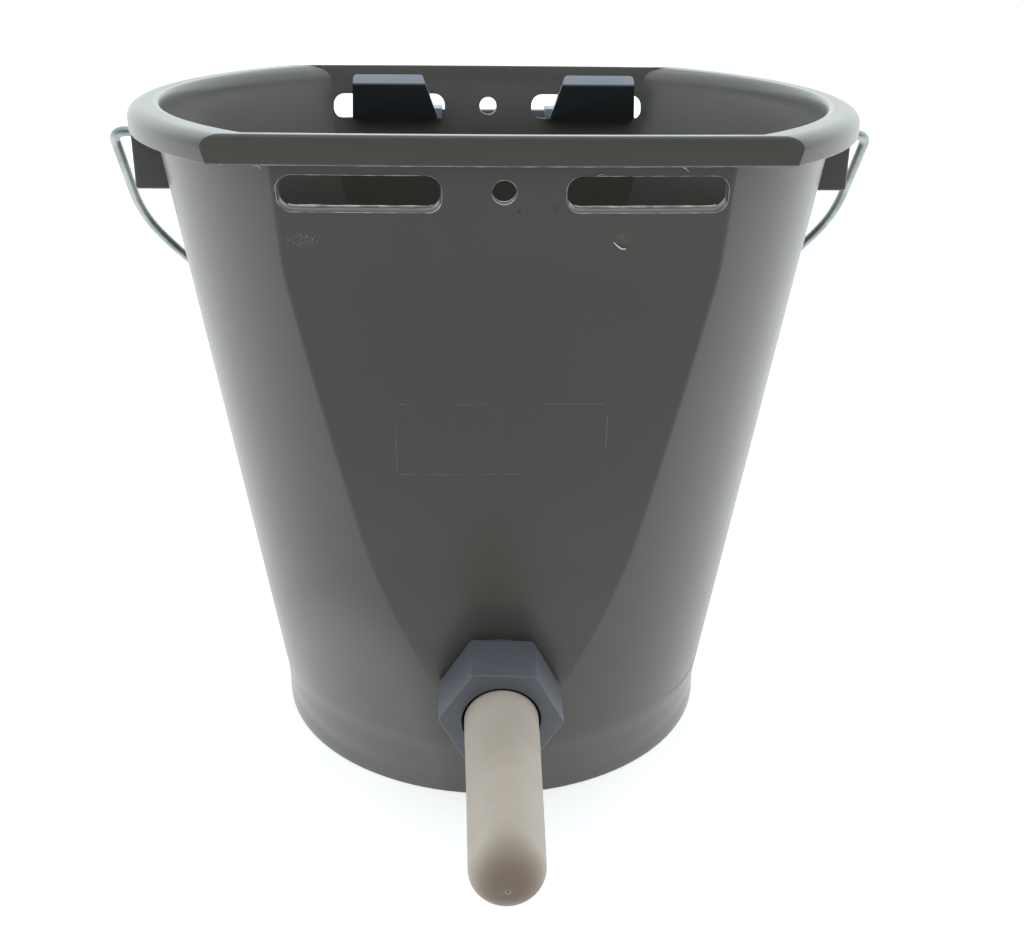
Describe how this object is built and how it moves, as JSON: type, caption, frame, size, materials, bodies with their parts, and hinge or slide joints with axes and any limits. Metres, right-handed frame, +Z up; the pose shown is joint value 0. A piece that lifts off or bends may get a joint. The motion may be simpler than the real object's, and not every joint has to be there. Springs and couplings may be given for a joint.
{
  "type": "calf feeding bucket",
  "caption": "Tapered feeding bucket with flat front and back panels, a wire bail, a rubber teat held by a hexagonal union nut, and a hanging bracket hooked through its slots.",
  "frame": {"origin": "on the ground under the middle of the whole object's box", "axes": "+Z up, -Y the way the teat points, +X to the right when facing the teat's side"},
  "size_m": [0.3048, 0.3194, 0.265],
  "materials": {
    "bucket_plastic": "moulded grey-olive polypropylene, faint grain and scuffs",
    "galvanised_wire": "zinc-coated wire, dull",
    "bracket_plastic": "moulded blue-grey plastic",
    "gasket_rubber": "black rubber",
    "spigot_plastic": "moulded blue-grey plastic",
    "cage_plastic": "moulded grey plastic",
    "ball_plastic": "smooth white plastic",
    "nut_plastic": "moulded blue-grey plastic",
    "teat_rubber": "matt beige rubber"
  },
  "bodies": {
    "bucket": {"bucket_body": "bucket_plastic", "valve_spigot": "spigot_plastic", "spigot_gasket": "gasket_rubber", "valve_cage": "cage_plastic"},
    "bail": {"bail_handle": "galvanised_wire"},
    "bracket": {"hanging_bracket": "bracket_plastic"},
    "teat": {"teat": "teat_rubber"},
    "nut": {"teat_nut": "nut_plastic"},
    "ball": {"valve_ball": "ball_plastic"}
  },
  "joints": [
    {"name": "bail_swing", "type": "hinge", "parent": "bucket", "child": "bail", "pos_m": [0, 0.04617, 0.2498], "axis": [1, 0, 0], "range_deg": [0, 279.4]},
    {"name": "bracket_lift", "type": "slide", "parent": "bucket", "child": "bracket", "axis": [0, 0, 1], "range_m": [0, 0.0049]},
    {"name": "teat_draw", "type": "slide", "parent": "bucket", "child": "teat", "axis": [0, -0.9976, -0.0698], "range_m": [0, 0.0135]},
    {"name": "nut_turn", "type": "hinge", "parent": "teat", "child": "nut", "pos_m": [0, -0.05094, 0.056], "axis": [0, -0.9976, -0.0698], "range_deg": [0, 1620]},
    {"name": "ball_slide", "type": "slide", "parent": "bucket", "child": "ball", "axis": [0, -0.9976, -0.0698], "range_m": [-0.004, 0]}
  ],
  "couplings": [
    {"joint": "teat_draw", "follows": "nut_turn", "m_per_rad": 0.00047746}
  ]
}
